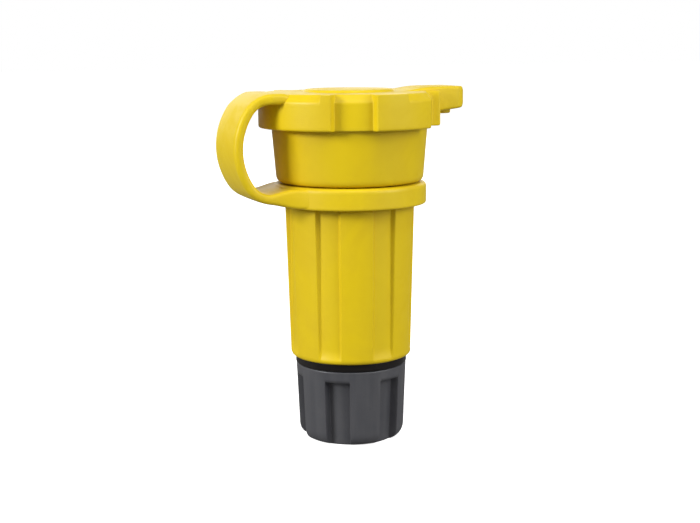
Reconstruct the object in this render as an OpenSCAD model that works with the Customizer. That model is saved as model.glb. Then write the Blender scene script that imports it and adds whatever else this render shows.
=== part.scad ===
// Watertight female cord connector with a tethered closure cap.
// Millimetres. Origin at the centre of the cord nut's base, +Z towards the cap,
// the strap on the -X side and the pull tab on the +X side.

/* [Cord nut] */
// Height of the cord nut
nut_h = 26.5; // [22:0.5:32]
// How far the nut's wall narrows from its top to its base
nut_taper = 1.1; // [0:0.1:2]
// Radius that rounds the nut's base
nut_round = 4; // [2:0.5:5]
// Number of grip recesses round the nut
nut_recesses = 6; // [4:1:8]
// Width of each nut recess, in degrees
nut_recess_angle = 27; // [18:1:32]
// Direction of the first nut recess, in degrees
nut_turn = 234.2; // [0:0.1:360]
// Depth of each nut recess
nut_recess_depth = 2.9; // [1.5:0.1:3.5]
// Plain band left above the nut recesses
nut_band = 4; // [3:0.5:7]
// Wall left behind a nut recess
nut_wall = 1.6; // [1.2:0.1:3]
// Thickness of the nut's floor
nut_floor = 4.5; // [3:0.5:7]

/* [Cord grip] */
// Bore of the rubber grommet that holds the cord, as a radius
cord_r = 6.4; // [4.5:0.1:7.8]
// Wall of the threaded spigot
spigot_wall = 2.5; // [1.8:0.1:3]
// Height of the spigot's mouth above the nut's base
spigot_z = 10.2; // [9.5:0.1:12.5]
// Depth of the collet's socket inside the spigot
collet_socket = 3.3; // [2:0.1:5]
// Length of the rubber grommet
grommet_l = 10; // [7:0.5:13]
// Number of slits between the collet's fingers
collet_slits = 8; // [4:1:12]
// Width of each slit
slit_w = 1; // [0.6:0.1:1.6]
// Wall of the collet at its fingertips
collet_wall = 2.6; // [2:0.1:3]
// Section radius of the nut's sealing ring
seal_r = 0.9; // [0.6:0.1:1.1]

/* [Core] */
// Outer radius of the rigid core inside the jacket
core_r = 17.4; // [16.5:0.1:21]
// Wall of the core
core_wall = 2; // [1.4:0.1:2.4]
// Height of the shoulder band between nut and jacket
shoulder_h = 2.7; // [2:0.1:5]
// How far the shoulder band stands out from the core
shoulder_step = 1.9; // [1.2:0.1:3]
// How far the nut's wall lies inside the shoulder band
nut_inset = 0.15; // [0:0.05:0.5]
// Thickness of the core's flange and of the carrier's flange
flange_t = 3; // [2.2:0.1:5]

/* [Grip] */
// Length of the fluted grip, from the shoulder band to the neck
grip_h = 52.55; // [46:0.05:70]
// Jacket thickness at the grip's lower end
grip_wall_low = 3.4; // [2.8:0.1:5]
// Jacket thickness at the grip's upper end
grip_wall_high = 4.8; // [4.2:0.1:7]
// Number of flutes round the grip
flutes = 7; // [5:1:10]
// Width of each flute, in degrees
flute_angle = 22.9; // [14:0.1:28]
// Depth of each flute at its upper end
flute_depth = 1.75; // [0.8:0.05:2.2]
// Depth of each flute at its lower end
flute_low_depth = 0.8; // [0.4:0.05:1.6]
// Direction of the first rib between two flutes, in degrees
flute_turn = 254.8; // [0:0.1:360]
// Height of the round band left below the flutes
grip_band = 3.6; // [2.5:0.1:8]

/* [Neck and head] */
// Jacket thickness at the neck
neck_wall = 3.2; // [2.4:0.1:4]
// Height of the ring that turns on the neck
ring_h = 7.2; // [5:0.1:9]
// Wall of the ring
ring_wall = 5.2; // [4.2:0.1:7]
// Jacket thickness between the neck and the core's flange
head_floor = 2.35; // [2:0.05:5]
// Width of the step that the core's flange sits on
seat_w = 4.6; // [4:0.1:7]
// Wall of the head round the mouth
head_wall = 4.5; // [3.5:0.1:6]
// How far the head narrows from its rim to its base
head_taper = 1.4; // [0:0.1:2]
// Height of the head's rim that is straight
head_straight = 8; // [7.2:0.1:10]

/* [Contacts] */
// Depth of the mouth, from its rim down to the face plate
well_depth = 10.85; // [9:0.05:16]
// Thickness of the face plate
face_t = 6; // [4:0.5:9]
// Length of the contact carrier
carrier_l = 26; // [24:0.5:32]
// Thickness of the carrier's rear retainer
retainer_t = 3; // [2:0.5:5]
// Distance between the two flat blades
blade_pitch = 12.7; // [12.5:0.1:13.5]
// Offset of the earth pin from the line of the flat blades
earth_offset = 11.9; // [11.5:0.1:12.5]
// Length of the line slot
line_slot = 6.7; // [6.4:0.1:7.2]
// Length of the neutral slot
neutral_slot = 8.3; // [7.8:0.1:8.6]
// Width of both flat slots
slot_w = 2; // [1.8:0.1:2.4]
// Radius of the earth pin's hole
earth_r = 2.6; // [2.4:0.1:2.8]
// Width of the brass contacts
contact_w = 7; // [6.5:0.1:7.4]
// Thickness of the brass strip
brass_t = 0.8; // [0.6:0.1:1]
// Gap between a contact's two leaves
leaf_gap = 1.5; // [1.3:0.1:1.7]

/* [Closure cap] */
// Thickness of the cap's roof
cap_roof = 4.85; // [3.5:0.05:7]
// How far the skirt reaches below the mouth's rim
skirt_drop = 6.65; // [5.5:0.05:7]
// Wall of the skirt at a lobe
skirt_wall = 4; // [3.6:0.1:6]
// Number of fifths, sevenths or ninths that the cap's lobes and recesses keep to
cap_lobes = 5; // [5:2:9]
// Width of each recess between two lobes, in degrees
cap_recess_angle = 27; // [18:1:30]
// Depth of each recess
cap_recess_depth = 2.9; // [2:0.1:3]
// Width of the square block left between the strap's bevel and the next recess, in degrees
block_angle = 7.5; // [4:0.5:12]
// Height of the bevel along the roof's edge
bevel_h = 2.7; // [1:0.1:3]
// Width of the bevel along the roof's edge
bevel_w = 1.2; // [0.5:0.1:1.8]
// Radius of the raised disc on the roof
crown_r = 15; // [10:0.5:16]
// Height of the raised disc on the roof
crown_h = 0.9; // [0.4:0.1:1.2]
// How far the plug reaches into the mouth
plug_drop = 3.35; // [2:0.05:4]
// Wall of the plug
plug_wall = 4; // [2.5:0.1:6]
// How far the plug narrows towards its lower end
plug_taper = 0.9; // [0.6:0.1:1.5]

/* [Pull tab and strap] */
// Reach of the pull tab from the axis
tab_reach = 40; // [36:0.5:48]
// Width of the pull tab
tab_w = 18; // [12:0.5:20]
// Thickness of the pull tab at its tip
tab_t = 7.2; // [4:0.1:8]
// How much lower the tab's underside lies at the skirt than at its tip
tab_slope = 1.4; // [0:0.1:2]
// Height of the pull tab above the roof
tab_rise = 1.3; // [0.9:0.1:2]
// Radius of the pull tab's corners
tab_round = 4; // [2:0.5:6]
// Distance from the tab's tip to the stud under it
stud_inset = 5.4; // [4:0.1:8]
// Radius of the stud under the pull tab
stud_r = 3; // [2:0.1:3.5]
// Height of the stud under the pull tab
stud_h = 1.7; // [1:0.1:3]
// Width of the strap
strap_w = 24; // [14:0.5:26]
// Thickness of the strap
strap_t = 3.4; // [2:0.1:4]
// How far the strap's loop stands out from its two roots
strap_reach = 13.1; // [11.5:0.1:18]
// Outer radius of the two bends at the loop's ends
bend_r = 11; // [8:0.1:11]
// Height of the strap's root above the lower edge of the ring
strap_lift = 1.8; // [0:0.1:2.2]

/* [Clearances] */
// Gap between pieces that are fixed together
fit_gap = 0.1; // [0.05:0.01:0.15]
// Gap between the ring and the neck
ring_gap = 0.3; // [0.2:0.05:0.5]
// Gap between the nut's thread and the spigot's thread
thread_gap = 0.08; // [0.04:0.01:0.1]
// Gap between the slip ring's cone and the collet's cone
cone_gap = 0.3; // [0.2:0.05:0.4]
// Gap between the closure cap and the rim of the mouth
cap_gap = 0.3; // [0.2:0.05:0.4]
// Gap between the cap's skirt and the head
skirt_gap = 0.5; // [0.4:0.05:0.8]
// Gap between the plug and the mouth
plug_gap = 0.4; // [0.3:0.05:0.6]

/* [Hidden] */
$fn = 96;
eps = 0.5;

// Heights, from the nut's base upwards
shoulder_z = nut_h + fit_gap;
grip_z = shoulder_z + shoulder_h;
neck_z = grip_z + grip_h;
ring_z = neck_z + ring_gap;
head_z = ring_z + ring_h + ring_gap;
core_flange_z = head_z + head_floor;
carrier_flange_z = core_flange_z + flange_t;
face_z = carrier_flange_z + flange_t;
seal_z = face_z + face_t;
rim_z = seal_z + well_depth;
roof_z = rim_z + cap_gap;
cap_top = roof_z + cap_roof;
skirt_z = rim_z - skirt_drop;
plug_z = rim_z - plug_drop;
carrier_z = face_z - carrier_l;
retainer_z = carrier_z - retainer_t;

// Radii
core_in = core_r - core_wall;
sleeve_r = core_r + fit_gap;
shoulder_r = core_r + shoulder_step;
grip_low_r = sleeve_r + grip_wall_low;
grip_high_r = sleeve_r + grip_wall_high;
neck_r = sleeve_r + neck_wall;
ring_in = neck_r + ring_gap;
ring_out = ring_in + ring_wall;
mouth_r = core_r + seat_w;
seat_r = mouth_r - fit_gap;
head_r = mouth_r + head_wall;
head_low_r = head_r - head_taper;
nut_top_r = shoulder_r - nut_inset;
nut_low_r = nut_top_r - nut_taper;
thread_r = nut_low_r - nut_recess_depth - nut_wall;
spigot_r = thread_r - thread_gap;
spigot_in = spigot_r - spigot_wall;
skirt_in = head_r + skirt_gap;
lobe_r = skirt_in + skirt_wall;
recess_r = lobe_r - cap_recess_depth;
plug_r = mouth_r - plug_gap;

// Cord grip
nut_hole_r = cord_r + 2.6;
collet_bore = cord_r + 0.8;
tip_r = collet_bore + collet_wall;
tip_z = nut_floor + 0.4;
collet_lip = 1;
lip_r = spigot_r - 1;
slip_out = spigot_r - 0.2;
slip_z = nut_floor + fit_gap;
slip_top = spigot_z - collet_lip - cone_gap;
grommet_z = spigot_z + collet_socket;
seal_pocket_h = 2.4;
lip_seal_w = 2.4;
lip_seal_h = 1.6;

// Contacts and terminals
blade_x = 4.5;
earth_x = blade_x - earth_offset;
carrier_r = core_in - 2 * fit_gap;
tail_h = 12;
leaf_z = carrier_z + tail_h;
leaf_top = face_z - 1;
pocket_l = contact_w + 1.4;
pocket_w = leaf_gap + 2 * brass_t + 1.3;
terminal_z = carrier_z + tail_h / 2;
window_h = 11;
tail_x = leaf_gap / 2;
wire_gap = 2.3;
clamp_x = tail_x + brass_t + wire_gap;
clamp_t = 1;
clamp_h = 9;
screw_r = 1.7;
screw_head_r = 3.2;
screw_head_t = 2;
driver_w = 0.9;
driver_d = 0.8;
spring_t = 0.5;
spring_h = 4;
band_z = leaf_z + 6;
face_screw_d = (core_in + seat_r) / 2;
face_screw_r = 1.5;
face_head_r = 2.7;
face_head_t = 2.4;
face_screw_l = face_t - face_head_t + 2 * flange_t - 0.5;
retainer_screw_d = 11.9;
retainer_screw_r = 1.2;
retainer_head_r = 2.2;
retainer_head_t = 1.6;
retainer_screw_l = 7;
wire_hole_r = 2.3;

// Closure
strap_gap = 0.2;
root_depth = 4;
strap_x = lobe_r + strap_gap;
root_z = ring_z + strap_lift;
loop_h = (cap_top - root_z) / 2;
loop_z = root_z + loop_h;
ramp_start = crown_r + 1;
ramp_end = lobe_r - 3;
edge = 0.8;
round_r = 2;

// A ring of rectangular section
module tube(r_out, r_in, h) {
    difference() {
        cylinder(r = r_out, h = h);
        translate([0, 0, -eps]) cylinder(r = r_in, h = h + 2 * eps);
    }
}

// A turned sector of a profile, from angle a to angle b
module sector(a, b) {
    rotate([0, 0, a]) rotate_extrude(angle = b - a) children();
}

// The points of a quarter round of radius r about [x, z], from angle a to a + 90
function quarter(x, z, r, a) = [for (i = [0:6]) [x + r * cos(a + 15 * i), z + r * sin(a + 15 * i)]];

// Points along an arc of radius r about [x, z], from angle a to angle b
function arc(x, z, r, a, b, first = 0) = [for (i = [first:8]) let (t = a + (b - a) * i / 8)
    [x + r * cos(t), z + r * sin(t)]];

// A profile that is a band's cross-section with its two outer edges rounded
module rounded_band(r_in, r_out, h, r) {
    translate([r_in, 0]) square([r_out - r_in - r, h]);
    translate([r_in, r]) square([r_out - r_in, h - 2 * r]);
    for (z = [r, h - r]) translate([r_out - r, z]) circle(r);
}

// ---- closure ----

module cap_outline_cut(a) {
    sector(a - cap_recess_angle / 2, a + cap_recess_angle / 2)
        polygon([[recess_r, skirt_z - eps], [recess_r, cap_top - bevel_h],
            [recess_r - bevel_w, cap_top + eps], [lobe_r + eps, cap_top + eps],
            [lobe_r + eps, skirt_z - eps]]);
}

// The bevel along the roof's edge between two directions
module lobe_bevel(a, b) {
    sector(a, b)
        polygon([[lobe_r + eps, cap_top - bevel_h], [lobe_r, cap_top - bevel_h],
            [lobe_r - bevel_w, cap_top + eps], [lobe_r + eps, cap_top + eps]]);
}

module tab_outline() {
    inner = tab_reach - tab_round;
    translate([0, -tab_w / 2]) square([inner, tab_w]);
    translate([inner - eps, tab_round - tab_w / 2]) square([tab_round + eps, tab_w - 2 * tab_round]);
    for (side = [-1, 1]) translate([inner, side * (tab_w / 2 - tab_round)]) circle(tab_round);
}

module pull_tab() {
    under = cap_top + tab_rise - tab_t;
    root_x = skirt_in + edge;
    stud_under = under - tab_slope * stud_inset / (tab_reach - root_x);
    intersection() {
        linear_extrude(cap_top + tab_rise + eps) tab_outline();
        rotate([90, 0, 0]) translate([0, 0, -tab_w]) linear_extrude(2 * tab_w)
            polygon([[ramp_start, cap_top - eps], [ramp_start, cap_top], [ramp_end, cap_top + tab_rise],
                [tab_reach - edge, cap_top + tab_rise], [tab_reach + eps, cap_top + tab_rise - edge],
                [tab_reach + eps, under + edge], [tab_reach - edge, under],
                [root_x, under - tab_slope], [root_x, cap_top - eps]]);
    }
    translate([tab_reach - stud_inset, 0, stud_under - stud_h]) cylinder(r = stud_r, h = stud_h + eps);
}

// The root of the strap, a short flat tongue ending at the loop's plane
module strap_root(z, inner) {
    translate([-strap_x, -strap_w / 2, z]) cube([strap_x - inner, strap_w, strap_t]);
}

module closure_cap() color("gold") {
    step = 360 / cap_lobes;
    strap_bevel = step - cap_recess_angle / 2 - block_angle;
    difference() {
        union() {
            difference() {
                translate([0, 0, skirt_z]) cylinder(r = lobe_r, h = cap_top - skirt_z);
                for (i = [1:cap_lobes - 1]) cap_outline_cut(180 + i * step);
                lobe_bevel(180 - strap_bevel, 180 + strap_bevel);
                for (side = [-1, 1]) {
                    near = 180 + side * 1.5 * step;
                    far = 180 + side * (2 * step - cap_recess_angle / 2 + 2);
                    lobe_bevel(min(near, far), max(near, far));
                }
            }
            translate([0, 0, cap_top - eps]) cylinder(r = crown_r, h = crown_h + eps);
            pull_tab();
            strap_root(cap_top - strap_t, recess_r - bevel_w - edge);
        }
        translate([0, 0, skirt_z - eps]) cylinder(r = skirt_in, h = roof_z - skirt_z + eps);
    }
    rotate_extrude()
        polygon([[plug_r - plug_wall, roof_z + eps], [plug_r, roof_z + eps], [plug_r, roof_z - edge],
            [plug_r - plug_taper, plug_z], [plug_r - plug_wall, plug_z]]);
}

// The loop's edge, moved inwards by inset: a bend at each end and a flatter arc between them
function loop_edge(inset) =
    let (rise = loop_h - bend_r,
        middle_r = (loop_h ^ 2 + strap_reach ^ 2 - 2 * loop_h * bend_r) / (2 * (strap_reach - bend_r)),
        turn = atan2(rise, middle_r - strap_reach))
    concat(arc(0, rise, bend_r - inset, 90, 180 - turn),
        arc(middle_r - strap_reach, 0, middle_r - inset, 180 - turn, 180 + turn, 1),
        arc(0, -rise, bend_r - inset, 180 + turn, 270, 1));

module cap_strap() color("gold") {
    outer = loop_edge(0);
    inner = loop_edge(strap_t);
    translate([-strap_x, strap_w / 2, loop_z]) rotate([90, 0, 0]) linear_extrude(strap_w)
        polygon(concat(outer, [for (i = [len(inner) - 1:-1:0]) inner[i]]));
}

module strap_ring() color("gold") {
    translate([0, 0, ring_z]) rotate_extrude() rounded_band(ring_in, ring_out, ring_h, edge);
    difference() {
        strap_root(root_z, ring_out - root_depth);
        translate([0, 0, ring_z - eps]) cylinder(r = ring_in + edge, h = ring_h);
    }
}

// ---- jacket ----

// One flute, cut from the neck down to where it fades into the lower band
module flute(a) {
    low = grip_z + grip_band;
    fade = low + 2 * flute_low_depth;
    slope = (grip_high_r - grip_low_r) / grip_h;
    sector(a - flute_angle / 2, a + flute_angle / 2)
        polygon([[grip_low_r + slope * (low - grip_z), low],
            [grip_low_r + slope * (fade - grip_z) - flute_low_depth, fade],
            [grip_high_r - flute_depth, neck_z + eps], [grip_high_r + eps, neck_z + eps],
            [grip_high_r + eps, low]]);
}

module jacket() color("gold") {
    step = 360 / flutes;
    difference() {
        rotate_extrude()
            polygon(concat([[0, grip_z]],
                quarter(grip_low_r - round_r, grip_z + round_r, round_r, -90),
                [[grip_high_r, neck_z - edge], [grip_high_r - edge, neck_z], [neck_r, neck_z],
                    [neck_r, head_z]],
                quarter(head_low_r - round_r, head_z + round_r, round_r, -90),
                [[head_r, rim_z - head_straight], [head_r, rim_z - edge], [head_r - edge, rim_z],
                    [0, rim_z]]));
        for (i = [0:flutes - 1]) flute(flute_turn + (i + 0.5) * step);
        translate([0, 0, grip_z - eps]) cylinder(r = sleeve_r, h = core_flange_z - grip_z + 2 * eps);
        translate([0, 0, core_flange_z]) cylinder(r = mouth_r, h = rim_z - core_flange_z + eps);
    }
}

// ---- core ----

module face_screw_places() {
    for (a = [90, 270]) rotate([0, 0, a]) translate([face_screw_d, 0, 0]) children();
}

module core_housing() color("dimgray") {
    difference() {
        union() {
            translate([0, 0, spigot_z]) cylinder(r = spigot_r, h = grip_z - spigot_z);
            translate([0, 0, shoulder_z]) cylinder(r = shoulder_r, h = shoulder_h);
            translate([0, 0, grip_z - eps]) cylinder(r = core_r, h = core_flange_z - grip_z + 2 * eps);
            translate([0, 0, core_flange_z]) cylinder(r = seat_r, h = flange_t);
        }
        translate([0, 0, spigot_z - eps]) cylinder(r = spigot_in, h = grip_z - spigot_z + 2 * eps);
        translate([0, 0, grip_z]) cylinder(r = core_in, h = carrier_flange_z - grip_z + eps);
        translate([0, 0, core_flange_z - eps]) face_screw_places()
            cylinder(r = face_screw_r + fit_gap, h = flange_t + 2 * eps);
    }
}

module mouth_seal() color("darkslategray")
    translate([0, 0, seal_z]) tube(seat_r, seat_r - lip_seal_w, lip_seal_h);

// ---- face ----

module face_plate() color("darkslategray") {
    difference() {
        translate([0, 0, face_z]) cylinder(r = seat_r, h = face_t);
        for (slot = [[blade_pitch / 2, line_slot], [-blade_pitch / 2, neutral_slot]])
            translate([blade_x - slot[1] / 2, slot[0] - slot_w / 2, face_z - eps])
                cube([slot[1], slot_w, face_t + 2 * eps]);
        translate([earth_x, 0, face_z - eps]) {
            cylinder(r = earth_r, h = face_t + 2 * eps);
            translate([0, -earth_r, 0]) cube([earth_r, 2 * earth_r, face_t + 2 * eps]);
        }
        translate([0, 0, face_z - eps]) face_screw_places() {
            cylinder(r = face_screw_r + fit_gap, h = face_t + 2 * eps);
            translate([0, 0, eps + face_t - face_head_t - fit_gap])
                cylinder(r = face_head_r + fit_gap, h = face_head_t + fit_gap + eps);
        }
    }
}

// A slotted screw along +Z with the underside of its head at the origin
module slotted_screw(r, l, head_r, head_t) {
    translate([0, 0, -l]) cylinder(r = r, h = l + eps / 2);
    difference() {
        cylinder(r = head_r, h = head_t);
        translate([-head_r - eps, -driver_w / 2, head_t - driver_d])
            cube([2 * head_r + 2 * eps, driver_w, driver_d + eps]);
    }
}

module face_screws() color("silver")
    translate([0, 0, seal_z - face_head_t]) face_screw_places()
        slotted_screw(face_screw_r, face_screw_l, face_head_r, face_head_t);

// ---- contacts ----

// Places its children at the line, neutral and earth contacts, +X pointing to the terminal screw
module at_contact(kind) {
    if (kind == "line") translate([blade_x, blade_pitch / 2, 0]) rotate([0, 0, 90]) children();
    if (kind == "neutral") translate([blade_x, -blade_pitch / 2, 0]) rotate([0, 0, -90]) children();
    if (kind == "earth") translate([earth_x, 0, 0]) rotate([0, 0, 180]) children();
}

module each_contact() {
    for (kind = ["line", "neutral", "earth"]) at_contact(kind) children();
}

module retainer_screw_places() {
    for (a = [0, 125, 235]) rotate([0, 0, a]) translate([retainer_screw_d, 0, 0]) children();
}

module contact_carrier() color("ivory") {
    difference() {
        union() {
            translate([0, 0, carrier_z]) cylinder(r = carrier_r, h = carrier_l);
            translate([0, 0, carrier_flange_z]) cylinder(r = seat_r, h = flange_t);
        }
        each_contact() {
            translate([-pocket_w / 2, -pocket_l / 2, carrier_z - eps])
                cube([pocket_w, pocket_l, carrier_l + 2 * eps]);
            translate([0, -pocket_l / 2, carrier_z - eps]) cube([core_r, pocket_l, window_h + eps]);
        }
        at_contact("earth") translate([0, 0, carrier_z + window_h])
            cylinder(r = earth_r + brass_t + 2 * fit_gap, h = carrier_l);
        translate([0, 0, carrier_flange_z - eps]) face_screw_places()
            cylinder(r = face_screw_r + fit_gap, h = flange_t + 2 * eps);
        translate([0, 0, carrier_z - eps]) retainer_screw_places()
            cylinder(r = retainer_screw_r + fit_gap, h = retainer_screw_l + eps);
    }
}

module rear_retainer() color("ivory") {
    difference() {
        translate([0, 0, retainer_z]) cylinder(r = carrier_r, h = retainer_t);
        each_contact() translate([clamp_x - wire_gap / 2, 0, retainer_z - eps])
            cylinder(r = wire_hole_r, h = retainer_t + 2 * eps);
        translate([0, 0, retainer_z - eps]) retainer_screw_places()
            cylinder(r = retainer_screw_r + fit_gap, h = retainer_t + 2 * eps);
    }
}

module retainer_screws() color("silver")
    translate([0, 0, retainer_z]) retainer_screw_places() rotate([180, 0, 0])
        slotted_screw(retainer_screw_r, retainer_t + retainer_screw_l - 1, retainer_head_r,
            retainer_head_t);

// The flat tail that the terminal screw threads into
module contact_tail(w) {
    difference() {
        translate([tail_x, -w / 2, carrier_z]) cube([brass_t, w, tail_h + brass_t]);
        translate([tail_x - eps, 0, terminal_z]) rotate([0, 90, 0])
            cylinder(r = screw_r + fit_gap / 2, h = brass_t + 2 * eps);
    }
}

module blade_contact(kind) {
    at_contact(kind) {
        contact_tail(contact_w);
        for (x = [-tail_x - brass_t, tail_x])
            translate([x, -contact_w / 2, leaf_z]) cube([brass_t, contact_w, leaf_top - leaf_z]);
        translate([-tail_x - brass_t, -contact_w / 2, leaf_z])
            cube([leaf_gap + 2 * brass_t, contact_w, brass_t]);
    }
}

module line_contact() color("goldenrod") blade_contact("line");

module neutral_contact() color("silver") blade_contact("neutral");

module earth_contact() color("yellowgreen") {
    at_contact("earth") {
        contact_tail(2 * earth_r);
        difference() {
            translate([0, 0, leaf_z]) cylinder(r = earth_r + brass_t, h = leaf_top - leaf_z);
            translate([0, 0, leaf_z + brass_t]) cylinder(r = earth_r, h = leaf_top - leaf_z);
            translate([-slit_w / 2, -2 * earth_r, leaf_z + 2 * brass_t])
                cube([slit_w, 4 * earth_r, leaf_top - leaf_z]);
        }
    }
}

// The spring band round the two leaves of each flat contact
module contact_springs() color("silver") {
    w = leaf_gap + 2 * brass_t + fit_gap;
    l = contact_w + fit_gap;
    for (kind = ["line", "neutral"]) at_contact(kind) difference() {
        translate([-w / 2 - spring_t, -l / 2 - spring_t, band_z])
            cube([w + 2 * spring_t, l + 2 * spring_t, spring_h]);
        translate([-w / 2, -l / 2, band_z - eps]) cube([w, l, spring_h + 2 * eps]);
    }
}

module clamp_plates() color("goldenrod")
    each_contact() difference() {
        translate([clamp_x, -contact_w / 2, terminal_z - clamp_h / 2]) cube([clamp_t, contact_w, clamp_h]);
        translate([clamp_x - eps, 0, terminal_z]) rotate([0, 90, 0])
            cylinder(r = screw_r + fit_gap, h = clamp_t + 2 * eps);
    }

module terminal_screws() color("silver")
    each_contact() translate([clamp_x + clamp_t, 0, terminal_z]) rotate([0, 90, 0])
        slotted_screw(screw_r, clamp_t + wire_gap + brass_t, screw_head_r, screw_head_t);

// ---- cord grip and nut ----

module cord_grommet() color("dimgray")
    translate([0, 0, grommet_z]) tube(spigot_in - fit_gap, cord_r, grommet_l);

module cord_collet() color("ivory") {
    difference() {
        rotate_extrude()
            polygon([[collet_bore, tip_z], [tip_r, tip_z], [lip_r, spigot_z - collet_lip],
                [lip_r, spigot_z], [spigot_in - fit_gap, spigot_z], [spigot_in - fit_gap, grommet_z],
                [collet_bore, grommet_z]]);
        for (i = [0:collet_slits - 1]) rotate([0, 0, i * 360 / collet_slits])
            translate([0, -slit_w / 2, tip_z - eps])
                cube([spigot_r, slit_w, spigot_z - collet_lip - tip_z + eps]);
    }
}

// A ring whose cone closes the collet's fingers as the nut pushes it up
module slip_ring() color("silver") {
    slope = (lip_r - tip_r) / (spigot_z - collet_lip - tip_z);
    in_low = tip_r + slope * (slip_z - tip_z) + cone_gap * sqrt(1 + slope ^ 2);
    in_top = in_low + slope * (slip_top - slip_z);
    rotate_extrude()
        polygon([[in_low, slip_z], [slip_out, slip_z], [slip_out, slip_top], [in_top, slip_top]]);
}

module nut_seal() color("darkslategray")
    translate([0, 0, nut_h - seal_pocket_h / 2]) rotate_extrude()
        translate([spigot_r + fit_gap + seal_r, 0]) circle(seal_r, $fn = 32);

module nut_recess(a) {
    sector(a - nut_recess_angle / 2, a + nut_recess_angle / 2)
        polygon([[nut_low_r - nut_recess_depth, -eps], [nut_top_r - nut_recess_depth, nut_h - nut_band],
            [nut_top_r + eps, nut_h - nut_band], [nut_top_r + eps, -eps]]);
}

module cord_nut() color("dimgray") {
    difference() {
        rotate_extrude()
            polygon(concat([[0, 0]], quarter(nut_low_r - nut_round, nut_round, nut_round, -90),
                [[nut_top_r, nut_h - edge / 2], [nut_top_r - edge / 2, nut_h], [0, nut_h]]));
        for (i = [0:nut_recesses - 1]) nut_recess(nut_turn + i * 360 / nut_recesses);
        translate([0, 0, -eps]) cylinder(r = nut_hole_r, h = nut_h);
        translate([0, 0, nut_floor]) cylinder(r = thread_r, h = nut_h);
        translate([0, 0, nut_h - seal_pocket_h])
            cylinder(r = spigot_r + 2 * (seal_r + fit_gap), h = seal_pocket_h + eps);
    }
}

closure_cap();
cap_strap();
strap_ring();
jacket();
core_housing();
mouth_seal();
face_plate();
face_screws();
contact_carrier();
rear_retainer();
retainer_screws();
line_contact();
neutral_contact();
earth_contact();
contact_springs();
clamp_plates();
terminal_screws();
cord_grommet();
cord_collet();
slip_ring();
nut_seal();
cord_nut();
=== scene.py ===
import math
import bpy
import bmesh
from mathutils import Matrix, Vector


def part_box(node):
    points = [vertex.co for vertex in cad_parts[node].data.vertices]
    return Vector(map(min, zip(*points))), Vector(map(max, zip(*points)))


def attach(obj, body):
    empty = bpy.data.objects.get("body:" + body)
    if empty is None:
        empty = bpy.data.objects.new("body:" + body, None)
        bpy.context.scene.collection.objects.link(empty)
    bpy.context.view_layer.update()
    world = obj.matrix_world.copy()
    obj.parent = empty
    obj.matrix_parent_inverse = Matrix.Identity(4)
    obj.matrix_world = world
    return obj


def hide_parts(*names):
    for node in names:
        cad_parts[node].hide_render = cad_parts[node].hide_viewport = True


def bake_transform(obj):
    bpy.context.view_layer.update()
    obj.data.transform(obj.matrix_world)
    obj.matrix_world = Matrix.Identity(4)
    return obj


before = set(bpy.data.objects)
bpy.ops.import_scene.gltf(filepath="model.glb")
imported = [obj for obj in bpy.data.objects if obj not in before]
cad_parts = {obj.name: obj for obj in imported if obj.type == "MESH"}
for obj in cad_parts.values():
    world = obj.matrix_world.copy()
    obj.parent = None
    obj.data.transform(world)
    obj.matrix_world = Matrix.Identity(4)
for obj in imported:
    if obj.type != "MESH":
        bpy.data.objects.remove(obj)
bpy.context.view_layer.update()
mm = 0.001


def boxOf(node):
    low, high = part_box(node)
    return [c / mm for c in low], [c / mm for c in high]


# heights and radii that the pieces share, in millimetres, read from the frame
capLow = boxOf("closure_cap")[0]
ringLow, ringHigh = boxOf("strap_ring")
strapLow, strapHigh = boxOf("cap_strap")
jacketLow, jacketHigh = boxOf("jacket")
coreLow, coreHigh = boxOf("core_housing")
nutLow, nutHigh = boxOf("cord_nut")
roofZ = strapHigh[2]  # the strap leaves the cap level with its roof

# ---------- camera ----------
cameraSettings = {
    "azimuth": -21.0, "distance": 0.450, "height": 0.1371, "pitch": 9.55,
    "roll": -0.44, "sideShift": 0.00014, "lens": 67.63, "sensor": 36.0,
}


def makeCamera(s):
    az, pitch = math.radians(s["azimuth"]), math.radians(s["pitch"])
    right = Vector((math.cos(az), math.sin(az), 0))
    ahead = Vector((-math.sin(az), math.cos(az), 0))
    forward = ahead * math.cos(pitch) - Vector((0, 0, math.sin(pitch)))
    up = right.cross(forward)
    turn = Matrix((right, up, -forward)).transposed().to_4x4()
    place = ahead * -s["distance"] - right * s["sideShift"] + Vector((0, 0, s["height"]))
    data = bpy.data.cameras.new("camera")
    data.lens, data.sensor_width = s["lens"], s["sensor"]
    data.clip_start, data.clip_end = 0.01, 20
    cam = bpy.data.objects.new("camera", data)
    cam.matrix_world = Matrix.Translation(place) @ turn @ Matrix.Rotation(math.radians(s["roll"]), 4, "Z")
    bpy.context.scene.collection.objects.link(cam)
    bpy.context.scene.camera = cam


makeCamera(cameraSettings)
print("camera made")


# ---------- small helpers for node trees ----------
def link(tree, value, socket):
    if isinstance(value, bpy.types.NodeSocket):
        tree.links.new(value, socket)
    elif value is not None:
        socket.default_value = value


def mathNode(tree, operation, *values, clamp=False):
    node = tree.nodes.new("ShaderNodeMath")
    node.operation, node.use_clamp = operation, clamp
    for i, value in enumerate(values):
        link(tree, value, node.inputs[i])
    return node.outputs[0]


def smoothRange(tree, value, low, high, toLow=0.0, toHigh=1.0):
    node = tree.nodes.new("ShaderNodeMapRange")
    node.interpolation_type = "SMOOTHSTEP"
    for name, v in (("Value", value), ("From Min", low), ("From Max", high),
                    ("To Min", toLow), ("To Max", toHigh)):
        link(tree, v, node.inputs[name])
    return node.outputs["Result"]


def vectorNode(tree, operation, *values):
    node = tree.nodes.new("ShaderNodeVectorMath")
    node.operation = operation
    for i, value in enumerate(values):
        name = "Scale" if operation == "SCALE" and i == 1 else i
        link(tree, value, node.inputs[name])
    return node.outputs[0]


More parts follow.
